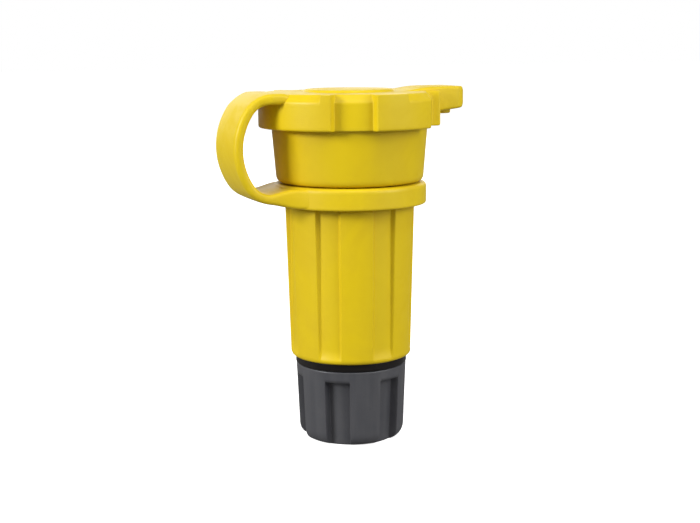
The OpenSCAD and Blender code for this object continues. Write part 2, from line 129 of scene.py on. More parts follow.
def noiseNode(tree, coords, scale, values):
    node = tree.nodes.new("ShaderNodeTexNoise")
    link(tree, coords, node.inputs["Vector"])
    link(tree, scale, node.inputs["Scale"])
    for name, value in values.items():
        node.inputs[name].default_value = value
    return node.outputs[0]


def startTree(name, kind, inputs, outputs):
    tree = bpy.data.node_groups.new(name, kind)
    for socketName, socketKind, default in inputs:
        socket = tree.interface.new_socket(name=socketName, in_out="INPUT", socket_type=socketKind)
        if default is not None:
            socket.default_value = default
    for socketName, socketKind in outputs:
        tree.interface.new_socket(name=socketName, in_out="OUTPUT", socket_type=socketKind)
    source, sink = tree.nodes.new("NodeGroupInput"), tree.nodes.new("NodeGroupOutput")
    return tree, source, sink


# ---------- shared surface effects ----------
def makeGrainGroup():
    # fine pebbled moulding grain with broader waviness, as a height
    tree, source, sink = startTree(
        "mouldedGrain", "ShaderNodeTree",
        [("Fine Scale", "NodeSocketFloat", 2600.0), ("Broad Scale", "NodeSocketFloat", 160.0),
         ("Broad Share", "NodeSocketFloat", 0.5)],
        [("Height", "NodeSocketFloat")])
    coords = tree.nodes.new("ShaderNodeTexCoord").outputs["Object"]
    fine = noiseNode(tree, coords, source.outputs["Fine Scale"], {"Detail": 2.0})
    broad = noiseNode(tree, coords, source.outputs["Broad Scale"], {"Detail": 3.0})
    scaled = mathNode(tree, "MULTIPLY", broad, source.outputs["Broad Share"])
    link(tree, mathNode(tree, "ADD", fine, scaled), sink.inputs["Height"])
    return tree


def makeHandlingGroup():
    # soft smudges and sparse darker specks left by handling, as two masks
    tree, source, sink = startTree(
        "handlingMarks", "ShaderNodeTree",
        [("Smudge Scale", "NodeSocketFloat", 45.0), ("Speck Scale", "NodeSocketFloat", 420.0),
         ("Speck Amount", "NodeSocketFloat", 0.3)],
        [("Smudge", "NodeSocketFloat"), ("Speck", "NodeSocketFloat")])
    coords = tree.nodes.new("ShaderNodeTexCoord").outputs["Object"]
    smudge = noiseNode(tree, coords, source.outputs["Smudge Scale"],
                       {"Detail": 4.0, "Roughness": 0.6, "Distortion": 0.6})
    link(tree, smoothRange(tree, smudge, 0.38, 0.68), sink.inputs["Smudge"])
    speck = noiseNode(tree, coords, source.outputs["Speck Scale"], {"Detail": 5.0, "Roughness": 0.75})
    mask = smoothRange(tree, speck, 0.62, 0.74)  # only the noise's peaks show as specks
    link(tree, mathNode(tree, "MULTIPLY", mask, source.outputs["Speck Amount"]), sink.inputs["Speck"])
    return tree


def makeStreakGroup():
    # long faint lines that run up the part, as plastic flow marks or brushing
    tree, source, sink = startTree(
        "drawnStreaks", "ShaderNodeTree",
        [("Scale", "NodeSocketFloat", 300.0), ("Stretch", "NodeSocketFloat", 0.06)],
        [("Streak", "NodeSocketFloat")])
    coords = tree.nodes.new("ShaderNodeTexCoord").outputs["Object"]
    squash = tree.nodes.new("ShaderNodeCombineXYZ")
    for axis, value in (("X", 1.0), ("Y", 1.0), ("Z", source.outputs["Stretch"])):
        link(tree, value, squash.inputs[axis])
    drawn = vectorNode(tree, "MULTIPLY", coords, squash.outputs[0])
    noise = noiseNode(tree, drawn, source.outputs["Scale"], {"Detail": 3.0})
    link(tree, smoothRange(tree, noise, 0.3, 0.7), sink.inputs["Streak"])
    return tree


grainGroup, handlingGroup, streakGroup = makeGrainGroup(), makeHandlingGroup(), makeStreakGroup()


def useGroup(tree, group, values):
    node = tree.nodes.new("ShaderNodeGroup")
    node.node_tree = group
    for name, value in values.items():
        node.inputs[name].default_value = value
    return node


def mixColour(tree, factor, a, b, mode="MIX"):
    node = tree.nodes.new("ShaderNodeMix")
    node.data_type, node.blend_type = "RGBA", mode
    link(tree, factor, node.inputs["Factor"])
    link(tree, a, node.inputs[6])
    link(tree, b, node.inputs[7])
    return node.outputs[2]


def colour(r, g, b):
    return (r, g, b, 1.0)


def makeMaterial(name, s):
    # one recipe for every finish; the settings decide how grainy, marked or streaked it is
    material = bpy.data.materials.new(name)
    material.use_nodes = True
    tree = material.node_tree
    shader = tree.nodes["Principled BSDF"]
    marks = useGroup(tree, handlingGroup, {"Smudge Scale": s["smudgeScale"], "Speck Scale": s["speckScale"],
                                           "Speck Amount": s["speckAmount"]})
    grain = useGroup(tree, grainGroup, {"Fine Scale": s["grainScale"], "Broad Scale": s["waveScale"],
                                        "Broad Share": s["waveShare"]})
    streak = useGroup(tree, streakGroup, {"Scale": s["streakScale"], "Stretch": s["streakStretch"]})
    base = mixColour(tree, marks.outputs["Smudge"], s["colour"], s["smudged"])
    streakShare = mathNode(tree, "MULTIPLY", streak.outputs["Streak"], s["streakAmount"])
    base = mixColour(tree, streakShare, base, s["streaked"])
    base = mixColour(tree, marks.outputs["Speck"], base, s["speck"])
    link(tree, base, shader.inputs["Base Color"])
    rough = smoothRange(tree, marks.outputs["Smudge"], 0.0, 1.0, s["rough"][0], s["rough"][1])
    dull = mathNode(tree, "MULTIPLY", streakShare, s["streakRough"])
    link(tree, mathNode(tree, "ADD", rough, dull, clamp=True), shader.inputs["Roughness"])
    shader.inputs["Metallic"].default_value = s["metallic"]
    shader.inputs["Specular IOR Level"].default_value = s["specular"]
    bump = tree.nodes.new("ShaderNodeBump")
    bump.inputs["Strength"].default_value = s["bump"]
    bump.inputs["Distance"].default_value = s["bumpDepth"]
    lines = mathNode(tree, "MULTIPLY", streak.outputs["Streak"], s["streakHeight"])
    link(tree, mathNode(tree, "ADD", grain.outputs["Height"], lines), bump.inputs["Height"])
    link(tree, bump.outputs["Normal"], shader.inputs["Normal"])
    return material


plainFinish = {
    "colour": colour(0.5, 0.5, 0.5), "smudged": colour(0.45, 0.45, 0.45), "smudgeScale": 45.0,
    "speck": colour(0.2, 0.2, 0.2), "speckScale": 420.0, "speckAmount": 0.2,
    "streaked": colour(0.4, 0.4, 0.4), "streakAmount": 0.0, "streakScale": 300.0, "streakStretch": 0.06,
    "streakHeight": 0.0, "streakRough": 0.12, "rough": (0.5, 0.6), "metallic": 0.0, "specular": 0.5,
    "grainScale": 2600.0, "waveScale": 160.0, "waveShare": 0.5, "bump": 0.25, "bumpDepth": 0.00006,
}


def finish(name, **changes):
    return makeMaterial(name, {**plainFinish, **changes})


yellowRubber = finish(
    "yellowRubber", colour=colour(0.70, 0.505, 0.003), smudged=colour(0.66, 0.465, 0.003),
    speck=colour(0.42, 0.26, 0.01), speckAmount=0.16, speckScale=520.0, streaked=colour(0.72, 0.54, 0.006),
    streakAmount=0.25, streakScale=120.0, streakStretch=0.25, rough=(0.44, 0.58), specular=0.30,
    grainScale=2400.0, waveScale=120.0, waveShare=0.9, bump=0.35, bumpDepth=0.00007)
yellowCap = finish(
    "yellowCapRubber", colour=colour(0.72, 0.525, 0.004), smudged=colour(0.67, 0.475, 0.003),
    speck=colour(0.45, 0.28, 0.01), speckAmount=0.14, speckScale=600.0, streaked=colour(0.74, 0.56, 0.01),
    streakAmount=0.2, streakScale=90.0, streakStretch=0.6, rough=(0.40, 0.55), specular=0.34,
    grainScale=2200.0, waveScale=110.0, waveShare=1.0, bump=0.4, bumpDepth=0.00008)
greyNylon = finish(
    "greyNylon", colour=colour(0.056, 0.057, 0.065), smudged=colour(0.068, 0.068, 0.075),
    speck=colour(0.02, 0.02, 0.022), speckAmount=0.25, speckScale=350.0, streaked=colour(0.088, 0.088, 0.094),
    streakAmount=0.5, streakScale=260.0, streakStretch=0.05, streakHeight=0.5, rough=(0.36, 0.5),
    specular=0.5, grainScale=3000.0, waveScale=200.0, waveShare=0.5, bump=0.3, bumpDepth=0.00005)
blackNylon = finish(
    "blackNylon", colour=colour(0.008, 0.0065, 0.006), smudged=colour(0.013, 0.011, 0.010),
    speck=colour(0.05, 0.045, 0.04), speckAmount=0.1, rough=(0.30, 0.45), specular=0.2, bump=0.2)
blackRubber = finish(
    "blackRubber", colour=colour(0.018, 0.018, 0.018), smudged=colour(0.028, 0.027, 0.026),
    speck=colour(0.08, 0.08, 0.075), speckAmount=0.12, rough=(0.6, 0.78), bump=0.35)
faceNylon = finish(
    "faceNylon", colour=colour(0.030, 0.031, 0.033), smudged=colour(0.042, 0.042, 0.043),
    speck=colour(0.10, 0.09, 0.08), speckAmount=0.1, rough=(0.4, 0.55), bump=0.3)
ivoryNylon = finish(
    "ivoryNylon", colour=colour(0.72, 0.67, 0.52), smudged=colour(0.66, 0.60, 0.45),
    speck=colour(0.35, 0.30, 0.2), speckAmount=0.1, rough=(0.4, 0.55), bump=0.25)
brassStrip = finish(
    "brassStrip", colour=colour(0.80, 0.56, 0.22), smudged=colour(0.66, 0.42, 0.15), metallic=1.0,
    speck=colour(0.25, 0.14, 0.06), speckAmount=0.25, streaked=colour(0.9, 0.7, 0.36), streakAmount=0.3,
    streakScale=900.0, streakHeight=0.6, rough=(0.24, 0.42), bump=0.15, bumpDepth=0.00003)
tinnedStrip = finish(
    "tinnedStrip", colour=colour(0.74, 0.73, 0.70), smudged=colour(0.60, 0.59, 0.57), metallic=1.0,
    speck=colour(0.3, 0.3, 0.3), streaked=colour(0.85, 0.85, 0.84), streakAmount=0.3, streakScale=900.0,
    streakHeight=0.6, rough=(0.25, 0.42), bump=0.15, bumpDepth=0.00003)
zincScrew = finish(
    "zincScrew", colour=colour(0.62, 0.62, 0.64), smudged=colour(0.50, 0.50, 0.50), metallic=1.0,
    speck=colour(0.22, 0.2, 0.18), speckAmount=0.3, streaked=colour(0.78, 0.78, 0.8), streakAmount=0.3,
    streakScale=1500.0, streakStretch=0.3, rough=(0.26, 0.44), bump=0.15, bumpDepth=0.00003)
print("materials made")


# ---------- mesh helpers ----------
def smoothStep(x, low, high):
    t = min(max((x - low) / (high - low), 0.0), 1.0)
    return t * t * (3 - 2 * t)


def angleGap(a, b):
    return abs((a - b + 180.0) % 360.0 - 180.0)


def cornerArc(a, b, c, steps):
    # a smooth turn from a to c that leans towards the corner b
    return [a * (1 - t) ** 2 + b * (2 * t * (1 - t)) + c * t ** 2
            for t in (k / steps for k in range(steps + 1))]


def softOutline(corners, longest=3.0, arcSteps=4, closed=False):
    # corners are (r, z, rounding); each becomes a small arc, with support rows on long runs
    points = []
    count = len(corners)
    for i, (r, z, rounding) in enumerate(corners):
        here = Vector((r, z))
        if not closed and i in (0, count - 1) or rounding <= 0:
            points.append((here,))
            continue
        before = Vector(corners[i - 1][:2]) - here
        after = Vector(corners[(i + 1) % count][:2]) - here
        reach = min(rounding, 0.48 * before.length, 0.48 * after.length)
        points.append((here + before.normalized() * reach, here, here + after.normalized() * reach))
    rows = []
    for item in points:
        arc = [item[0]] if len(item) == 1 else cornerArc(*item, arcSteps)
        if rows:
            addRun(rows, arc[0], longest)
        rows.extend(arc)
    if closed:
        addRun(rows, rows[0], longest)
    return [(p.x, p.y) for p in rows]


def addRun(rows, target, longest):
    # support rows close to both ends of a straight run, and no gap wider than longest
    start = rows[-1].copy()
    span = (target - start).length
    if span < 0.9:
        return
    edge = min(0.25, span / 4)
    inner = max(1, math.ceil((span - 2 * edge) / longest))
    stops = [edge + (span - 2 * edge) * k / inner for k in range(inner + 1)]
    rows.extend(start + (target - start) * (s / span) for s in stops)


def meshObject(name, verts, faces, material):
    data = bpy.data.meshes.new(name)
    data.from_pydata([tuple(c * mm for c in v) for v in verts], [], faces)
    data.validate()
    data.materials.append(material)
    data.polygons.foreach_set("use_smooth", [True] * len(data.polygons))
    data.update()
    obj = bpy.data.objects.new(name, data)
    bpy.context.scene.collection.objects.link(obj)
    return obj


def evenAngles(count):
    return [360.0 * j / count for j in range(count)]


def crowdedAngles(coarse, walls, spread, fine):
    # even columns, with finer ones within a few degrees of each wall's direction
    marks = {round(360.0 * j / coarse, 4) for j in range(coarse)}
    for wall in walls:
        marks = {a for a in marks if angleGap(a, wall) > spread}
        marks |= {round((wall - spread + 2 * spread * k / fine) % 360.0, 4) for k in range(fine + 1)}
    return sorted(marks)


def turned(name, outlineAt, angles, material, closed=True):
    # a turned form: outlineAt(angle in degrees) gives its rows, top first, from inside outwards
    columns = len(angles)
    first = outlineAt(angles[0])
    rows = len(first)
    verts, faces = [], []
    poles = {0, rows - 1} if not closed else set()
    index = {}
    for j, angle in enumerate(angles):
        outline = first if j == 0 else outlineAt(angle)
        c, s = math.cos(math.radians(angle)), math.sin(math.radians(angle))
        for i, (r, z) in enumerate(outline):
            if i in poles and j:
                index[i, j] = index[i, 0]
                continue
            index[i, j] = len(verts)
            verts.append((r * c, r * s, z))
    for j in range(columns):
        k = (j + 1) % columns
        for i in range(rows if closed else rows - 1):
            n = (i + 1) % rows
            loop = [index[i, j], index[n, j], index[n, k], index[i, k]]
            loop = [v for p, v in enumerate(loop) if v not in loop[:p]]
            if len(loop) > 2:
                faces.append(loop)
    return meshObject(name, verts, faces, material)


def applyModifiers(obj):
    deps = bpy.context.evaluated_depsgraph_get()
    deps.update()
    data = bpy.data.meshes.new_from_object(obj.evaluated_get(deps))
    obj.modifiers.clear()
    old = obj.data
    obj.data = data
    data.name = obj.name
    bpy.data.meshes.remove(old)


def paintWeight(obj, name, weightAt):
    attribute = obj.data.attributes.new(name, "FLOAT", "POINT")
    attribute.data.foreach_set("value", [weightAt(v.co / mm) for v in obj.data.vertices])


def runTree(obj, tree, values):
    modifier = obj.modifiers.new(tree.name, "NODES")
    modifier.node_group = tree
    sockets = {s.name: s.identifier for s in tree.interface.items_tree
               if s.item_type == "SOCKET" and s.in_out == "INPUT"}
    for name, value in values.items():
        modifier[sockets[name]] = value
    applyModifiers(obj)
    obj.data.polygons.foreach_set("use_smooth", [True] * len(obj.data.polygons))


# ---------- geometry node trees ----------
def angleRound(tree):
    position = tree.nodes.new("GeometryNodeInputPosition").outputs[0]
    parts = tree.nodes.new("ShaderNodeSeparateXYZ")
    link(tree, position, parts.inputs[0])
    angle = mathNode(tree, "ARCTAN2", parts.outputs["Y"], parts.outputs["X"])
    flat = tree.nodes.new("ShaderNodeCombineXYZ")
    link(tree, parts.outputs["X"], flat.inputs["X"])
    link(tree, parts.outputs["Y"], flat.inputs["Y"])
    outwards = vectorNode(tree, "NORMALIZE", flat.outputs[0])
    return angle, outwards, parts.outputs["Z"]


def weightOf(tree, name):
    node = tree.nodes.new("GeometryNodeInputNamedAttribute")
    node.data_type = "FLOAT"
    node.inputs["Name"].default_value = name
    return node.outputs["Attribute"]


def finishTree(tree, source, sink, geometry):
    real = tree.nodes.new("GeometryNodeRealizeInstances")
    link(tree, geometry, real.inputs["Geometry"])
    paint = tree.nodes.new("GeometryNodeSetMaterial")
    link(tree, real.outputs[0], paint.inputs["Geometry"])
    link(tree, source.outputs["Material"], paint.inputs["Material"])
    link(tree, paint.outputs[0], sink.inputs["Geometry"])


def makeFluteTree():
    # sinks evenly spaced recesses into a turned form, where its weight says so
    tree, source, sink = startTree(
        "fluteRing", "GeometryNodeTree",
        [("Geometry", "NodeSocketGeometry", None), ("Count", "NodeSocketInt", 6),
         ("Turn", "NodeSocketFloat", 0.0), ("Half Width", "NodeSocketFloat", 0.2),
         ("Wall", "NodeSocketFloat", 0.04), ("Depth", "NodeSocketFloat", 0.002),
         ("Material", "NodeSocketMaterial", None)],
        [("Geometry", "NodeSocketGeometry")])
    angle, outwards = angleRound(tree)[:2]
    step = mathNode(tree, "DIVIDE", 2 * math.pi, source.outputs["Count"])
    phase = mathNode(tree, "DIVIDE", mathNode(tree, "SUBTRACT", angle, source.outputs["Turn"]), step)
    away = mathNode(tree, "SUBTRACT", phase, mathNode(tree, "ROUND", phase))
    gap = mathNode(tree, "MULTIPLY", mathNode(tree, "ABSOLUTE", away), step)
    low = mathNode(tree, "SUBTRACT", source.outputs["Half Width"], source.outputs["Wall"])
    mask = smoothRange(tree, gap, low, source.outputs["Half Width"], 1.0, 0.0)
    amount = mathNode(tree, "MULTIPLY", mask, weightOf(tree, "recess"))
    shift = mathNode(tree, "MULTIPLY", amount, mathNode(tree, "MULTIPLY", source.outputs["Depth"], -1.0))
    move = tree.nodes.new("GeometryNodeSetPosition")
    link(tree, source.outputs["Geometry"], move.inputs["Geometry"])
    link(tree, vectorNode(tree, "SCALE", outwards, shift), move.inputs["Offset"])
    finishTree(tree, source, sink, move.outputs[0])
    return tree


def makeThreadTree():
    # cuts a rounded screw thread into a turned form, where its weight says so
    tree, source, sink = startTree(
        "screwThread", "GeometryNodeTree",
        [("Geometry", "NodeSocketGeometry", None), ("Pitch", "NodeSocketFloat", 0.003),
         ("Depth", "NodeSocketFloat", 0.001), ("Crest", "NodeSocketFloat", 0.35),
         ("Material", "NodeSocketMaterial", None)],
        [("Geometry", "NodeSocketGeometry")])
    angle, outwards, height = angleRound(tree)
    turns = mathNode(tree, "DIVIDE", angle, 2 * math.pi)
    phase = mathNode(tree, "SUBTRACT", mathNode(tree, "DIVIDE", height, source.outputs["Pitch"]), turns)
    away = mathNode(tree, "ABSOLUTE", mathNode(tree, "SUBTRACT", phase, mathNode(tree, "ROUND", phase)))
    mask = smoothRange(tree, away, mathNode(tree, "MULTIPLY", source.outputs["Crest"], 0.5), 0.42)
    cut = mathNode(tree, "MULTIPLY", mask, weightOf(tree, "thread"))
    shift = mathNode(tree, "MULTIPLY", cut, mathNode(tree, "MULTIPLY", source.outputs["Depth"], -1.0))
    move = tree.nodes.new("GeometryNodeSetPosition")
    link(tree, source.outputs["Geometry"], move.inputs["Geometry"])
    link(tree, vectorNode(tree, "SCALE", outwards, shift), move.inputs["Offset"])
    finishTree(tree, source, sink, move.outputs[0])
    return tree


def makeScrewTree():
    # sets a copy of a screw on each point, turned as the point's facing says
    tree, source, sink = startTree(
        "screwSet", "GeometryNodeTree",
        [("Geometry", "NodeSocketGeometry", None), ("Screw", "NodeSocketObject", None),
         ("Scale", "NodeSocketFloat", 1.0), ("Material", "NodeSocketMaterial", None)],
        [("Geometry", "NodeSocketGeometry")])
    info = tree.nodes.new("GeometryNodeObjectInfo")
    link(tree, source.outputs["Screw"], info.inputs["Object"])
    facing = tree.nodes.new("GeometryNodeInputNamedAttribute")
    facing.data_type = "FLOAT_VECTOR"
    facing.inputs["Name"].default_value = "facing"
    place = tree.nodes.new("GeometryNodeInstanceOnPoints")
    link(tree, source.outputs["Geometry"], place.inputs["Points"])
    link(tree, info.outputs["Geometry"], place.inputs["Instance"])
    link(tree, facing.outputs["Attribute"], place.inputs["Rotation"])
    link(tree, source.outputs["Scale"], place.inputs["Scale"])
    finishTree(tree, source, sink, place.outputs[0])
    return tree


fluteTree, threadTree, screwTree = makeFluteTree(), makeThreadTree(), makeScrewTree()
print("node trees made")

# ---------- jacket ----------
jacketSettings = {
    "columns": 240, "lowR": 20.9, "highR": 22.3, "grip": 52.55, "neckR": 20.7, "neck": 7.8,
    "headLowR": 25.1, "headR": 26.5, "headStraight": 8.0, "bore": 17.5, "mouth": 22.0, "seat": 2.35,
    "bottomRound": 2.0, "headRound": 2.3, "rimRound": 0.7,
    "flutes": 7, "firstRib": 254.8, "fluteWidth": 23.6, "fluteWall": 2.6, "fluteDepth": 1.75,
    "fadeLow": 0.6, "fadeHigh": 4.0, "lowShare": 0.45,
}


def makeJacket(s):
    bottom, rim = jacketLow[2], jacketHigh[2]
    neckZ = bottom + s["grip"]
    headZ = neckZ + s["neck"]
    seatZ = headZ + s["seat"]
    corners = [
        (s["mouth"], rim, s["rimRound"]), (s["headR"], rim, s["rimRound"]),
        (s["headR"], rim - s["headStraight"], 2.0), (s["headLowR"], headZ, s["headRound"]),
        (s["neckR"], headZ, 0.3), (s["neckR"], neckZ, 0.3), (s["highR"], neckZ, 0.7),
        (s["lowR"], bottom, s["bottomRound"]), (s["bore"], bottom, 0.4), (s["bore"], seatZ, 0.2),
        (s["mouth"], seatZ, 0.2)]
    outline = softOutline(corners, longest=1.6, arcSteps=5, closed=True)
    step = 360.0 / s["flutes"]
    middles = [s["firstRib"] + step * (k + 0.5) for k in range(s["flutes"])]
    half = (s["fluteWidth"] - s["fluteWall"]) / 2
    walls = [middle + side * half for middle in middles for side in (-1, 1)]
    obj = turned("gripJacket", lambda angle: outline,
                 crowdedAngles(s["columns"], walls, s["fluteWall"] * 0.75, 10), yellowRubber)
    middle = (s["bore"] + s["lowR"]) / 2

    def fluteWeight(p):
        if math.hypot(p.x, p.y) < middle or p.z > neckZ - 0.05:
            return 0.0
        share = s["lowShare"] + (1 - s["lowShare"]) * (p.z - bottom) / s["grip"]
        return share * smoothStep(p.z, bottom + s["fadeLow"], bottom + s["fadeHigh"])

    paintWeight(obj, "recess", fluteWeight)
    runTree(obj, fluteTree, {
        "Count": s["flutes"], "Turn": math.radians(middles[0]),
        "Half Width": math.radians(s["fluteWidth"] / 2), "Wall": math.radians(s["fluteWall"]),
        "Depth": s["fluteDepth"] * mm, "Material": yellowRubber})
    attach(obj, "root")
    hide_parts("jacket")


makeJacket(jacketSettings)
print("jacket made")

# ---------- ring round the neck ----------
ringSettings = {"columns": 360, "inner": 21.0, "outer": 26.2, "topRound": 1.5, "lowRound": 0.8}


def makeRing(s):
    low, high = ringLow[2], ringHigh[2]
    corners = [(s["inner"], high, 0.6), (s["outer"], high, s["topRound"]),
               (s["outer"], low, s["lowRound"]), (s["inner"], low, 0.5)]
    outline = softOutline(corners, longest=1.2, arcSteps=5, closed=True)
    obj = turned("neckRing", lambda angle: outline, evenAngles(s["columns"]), yellowCap)
    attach(obj, "closure_ring")
    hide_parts("strap_ring")


makeRing(ringSettings)
print("ring made")

# ---------- closure cap ----------
capSettings = {
    "columns": 240, "lobeR": 30.99, "recessR": 28.1, "parts": 5, "recessWidth": 27.0, "wall": 1.8,
    "roof": 4.85, "skirtIn": 27.0, "plugR": 21.6, "plugIn": 17.6, "plugTaper": 0.9, "plugDrop": 3.65,
    "crownR": 15.0, "crown": 0.9, "edgeRound": 0.55, "skirtRound": 0.8, "bevelH": 2.5, "bevelW": 2.1,
    "blockWidth": 7.5, "blockEdge": 1.2, "squareShare": 0.3,
    "runRows": (0, 10, 2, 8, 3, 9, 2, 5, 4, 4, 3, 3, 8),  # rows on the straight run before each corner
}


def makeCap(s):
    top, skirt = roofZ, capLow[2]
    ceiling = top - s["roof"]
    step = 360.0 / s["parts"]
    lobe = step - s["recessWidth"]
    # a recess at each part's direction but the strap's, where one long lobe carries the strap
    centres = [180.0 + step * i for i in range(1, s["parts"])]
    strapHalf = step - s["recessWidth"] / 2 - s["blockWidth"]
    bevels = [(180.0, strapHalf)]
    bevels += [(180.0 + side * (1.5 * step + lobe / 4), lobe / 4) for side in (-1, 1)]

    def lobeShare(angle):
        gap = min(angleGap(angle, c) for c in centres)
        return smoothStep(gap, s["recessWidth"] / 2 - s["wall"] / 2, s["recessWidth"] / 2 + s["wall"] / 2)

    def bevelShare(angle):
        # full along the recesses and between the square blocks that are left on the lobes
        share = 1.0 - lobeShare(angle)
        for centre, half in bevels:
            share = max(share, 1.0 - smoothStep(angleGap(angle, centre), half, half + s["blockEdge"]))
        return share

    def outlineAt(angle):
        lobes, bevel = lobeShare(angle), bevelShare(angle)
        outer = s["recessR"] + (s["lobeR"] - s["recessR"]) * lobes
        edge = s["edgeRound"]
        least = edge * s["squareShare"]
        w = least + (s["bevelW"] - least) * bevel
        h = least + (s["bevelH"] - least) * bevel
        corners = [
            (0.0, top + s["crown"], 0.0), (s["crownR"], top + s["crown"], 0.8),
            (s["crownR"] + 0.5, top, 0.5),
            (outer - w, top, 0.5), (outer, top - h, 0.6), (outer, skirt, s["skirtRound"]),
            (s["skirtIn"], skirt, edge), (s["skirtIn"], ceiling, 0.6), (s["plugR"], ceiling, 0.6),
            (s["plugR"] - s["plugTaper"], ceiling - s["plugDrop"], 0.7),
            (s["plugIn"], ceiling - s["plugDrop"], 0.7), (s["plugIn"] - 0.4, ceiling, 0.8),
            (0.0, ceiling, 0.0)]
        return fixedRows(corners, s["runRows"])

    walls = [c + side * s["recessWidth"] / 2 for c in centres for side in (-1, 1)]
    blocks = [c + side * (half + s["blockEdge"] / 2) for c, half in bevels for side in (-1, 1)]
    angles = crowdedAngles(s["columns"], walls + blocks, max(s["wall"], s["blockEdge"]), 12)
    obj = turned("closureCap", outlineAt, angles, yellowCap, closed=False)
    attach(obj, "closure")
    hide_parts("closure_cap")


def fixedRows(corners, runRows, arcSteps=4):
    # like softOutline, but with the same number of rows whatever the sizes
    rows = []
    for i, (r, z, rounding) in enumerate(corners):
        here = Vector((r, z))
        if i in (0, len(corners) - 1):
            arc = [here]
        else:
            before = Vector(corners[i - 1][:2]) - here
            after = Vector(corners[i + 1][:2]) - here
            reach = min(rounding, 0.45 * before.length, 0.45 * after.length)
            arc = cornerArc(here + before.normalized() * reach, here, here + after.normalized() * reach,
                            arcSteps)
        if rows:
            start = rows[-1].copy()
            count = runRows[i]
            rows.extend(start + (arc[0] - start) * (k / (count + 1)) for k in range(1, count + 1))
        rows.extend(arc)
    return [(p.x, p.y) for p in rows]


makeCap(capSettings)
print("cap made")

# ---------- pull tab ----------
tabSettings = {
    "rampStart": 16.0, "rampEnd": 28.0, "reach": 40.0, "halfWidth": 9.0, "round": 4.0, "rise": 1.3,
    "thick": 7.2, "root": 27.9, "rootDepth": 1.2, "edge": 1.0, "slope": 1.4, "tipSoft": 1.4,
    "stations": 48, "tipSteps": 12, "studX": 34.6, "studR": 3.0, "studH": 1.7, "studSunk": 0.5,
}


def barFaces(rings, around):
    # the sides between neighbouring rings of a bar, and its two ends
    faces = []
    for i in range(rings - 1):
        for k in range(around):
            m = (k + 1) % around
            faces.append([i * around + k, (i + 1) * around + k, (i + 1) * around + m, i * around + m])
    faces.append(list(range(around)))
    faces.append(list(range((rings - 1) * around, rings * around))[::-1])
    return faces


def lofted(name, stations, material, around=40):
    # closed block swept along +X; a station is (x, half width, low, high, corner rounding)
    verts = []
    for x, half, low, high, rounding in stations:
        hy, hz = half, (high - low) / 2
        c = min(rounding, hy * 0.98, hz * 0.98)
        for k in range(around):
            a = 2 * math.pi * (k + 0.5) / around
            ca, sa = math.cos(a), math.sin(a)
            # a rounded rectangle, reached along even steps of the angle
            y = math.copysign(hy - c, ca) + c * ca
            z = math.copysign(hz - c, sa) + c * sa
            verts.append((x, y, (low + high) / 2 + z))
    obj = meshObject(name, verts, barFaces(len(stations), around), material)
    fixNormals(obj)
    return obj


def fixNormals(obj):
    mesh = bmesh.new()
    mesh.from_mesh(obj.data)
    bmesh.ops.remove_doubles(mesh, verts=mesh.verts, dist=1e-7)
    bmesh.ops.recalc_face_normals(mesh, faces=mesh.faces)
    mesh.to_mesh(obj.data)
    mesh.free()


def join(name, pieces):
    merged = bmesh.new()
    for piece in pieces:
        merged.from_mesh(piece.data)
    keep = pieces[0]
    merged.to_mesh(keep.data)
    merged.free()
    for piece in pieces[1:]:
        bpy.data.objects.remove(piece)
    keep.name = keep.data.name = name
    return keep


def makeTab(s):
    top = roofZ
    under = top + s["rise"] - s["thick"]

    def underAt(x):
        return under - s["slope"] * min(1.0, (s["reach"] - x) / (s["reach"] - s["root"]))

    stations = []
    for k in range(s["stations"] + 1):
        x = s["rampStart"] + (s["reach"] - s["rampStart"]) * k / s["stations"]
        high = top + s["rise"] * smoothStep(x, s["rampStart"] - 1.0, s["rampEnd"])
        low = underAt(x) if x > s["root"] else top - s["rootDepth"]
        stations.append((x, s["halfWidth"], low, high, s["edge"]))
    tipStart = s["reach"] - s["round"]
    rows = [st for st in stations if st[0] < tipStart]
    for k in range(s["tipSteps"] + 1):
        a = math.radians(90.0 / s["tipSteps"] * k)
        x = tipStart + s["round"] * math.sin(a)
        half = s["halfWidth"] - s["round"] * (1 - math.cos(a))
        soften = s["edge"] * smoothStep(x, s["reach"] - s["tipSoft"], s["reach"])
        rows.append((x, half, underAt(x) + soften, top + s["rise"] - soften, s["edge"]))
    tab = lofted("pullTab", rows, yellowCap)
    base = underAt(s["studX"])
    inside, end = base + s["studSunk"], base - s["studH"]
    studOutline = softOutline(
        [(0.0, inside, 0.0), (s["studR"], inside, 0.0), (s["studR"], end, 0.7), (0.0, end, 0.0)], longest=0.8)
    stud = turned("pullTabStud", lambda angle: studOutline, evenAngles(48), yellowCap, closed=False)
    for v in stud.data.vertices:
        v.co.x += s["studX"] * mm
    obj = join("pullTab", [tab, stud])
    obj.data.polygons.foreach_set("use_smooth", [True] * len(obj.data.polygons))
    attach(obj, "closure")


makeTab(tabSettings)
print("tab made")

# ---------- strap ----------
strapSettings = {
    "width": 24.0, "thick": 3.4, "reach": 13.1, "bend": 11.0, "corner": 1.2, "crown": 0.15, "steps": 18,
    "capRun": 6.5, "ringRun": 12.2, "capFlare": 2.0, "capFlareRun": 7.0, "capRise": 0.35, "capSink": 3.0,
    "ringFlare": 5.7, "ringFlareRun": 11.5, "ringDrop": 1.7, "ringRise": 1.7, "ringInner": 21.4,
    "ringFull": 0.35, "ringFade": 1.25, "sinkShare": 2.5, "runSteps": 8, "bendClear": 1.4,
}


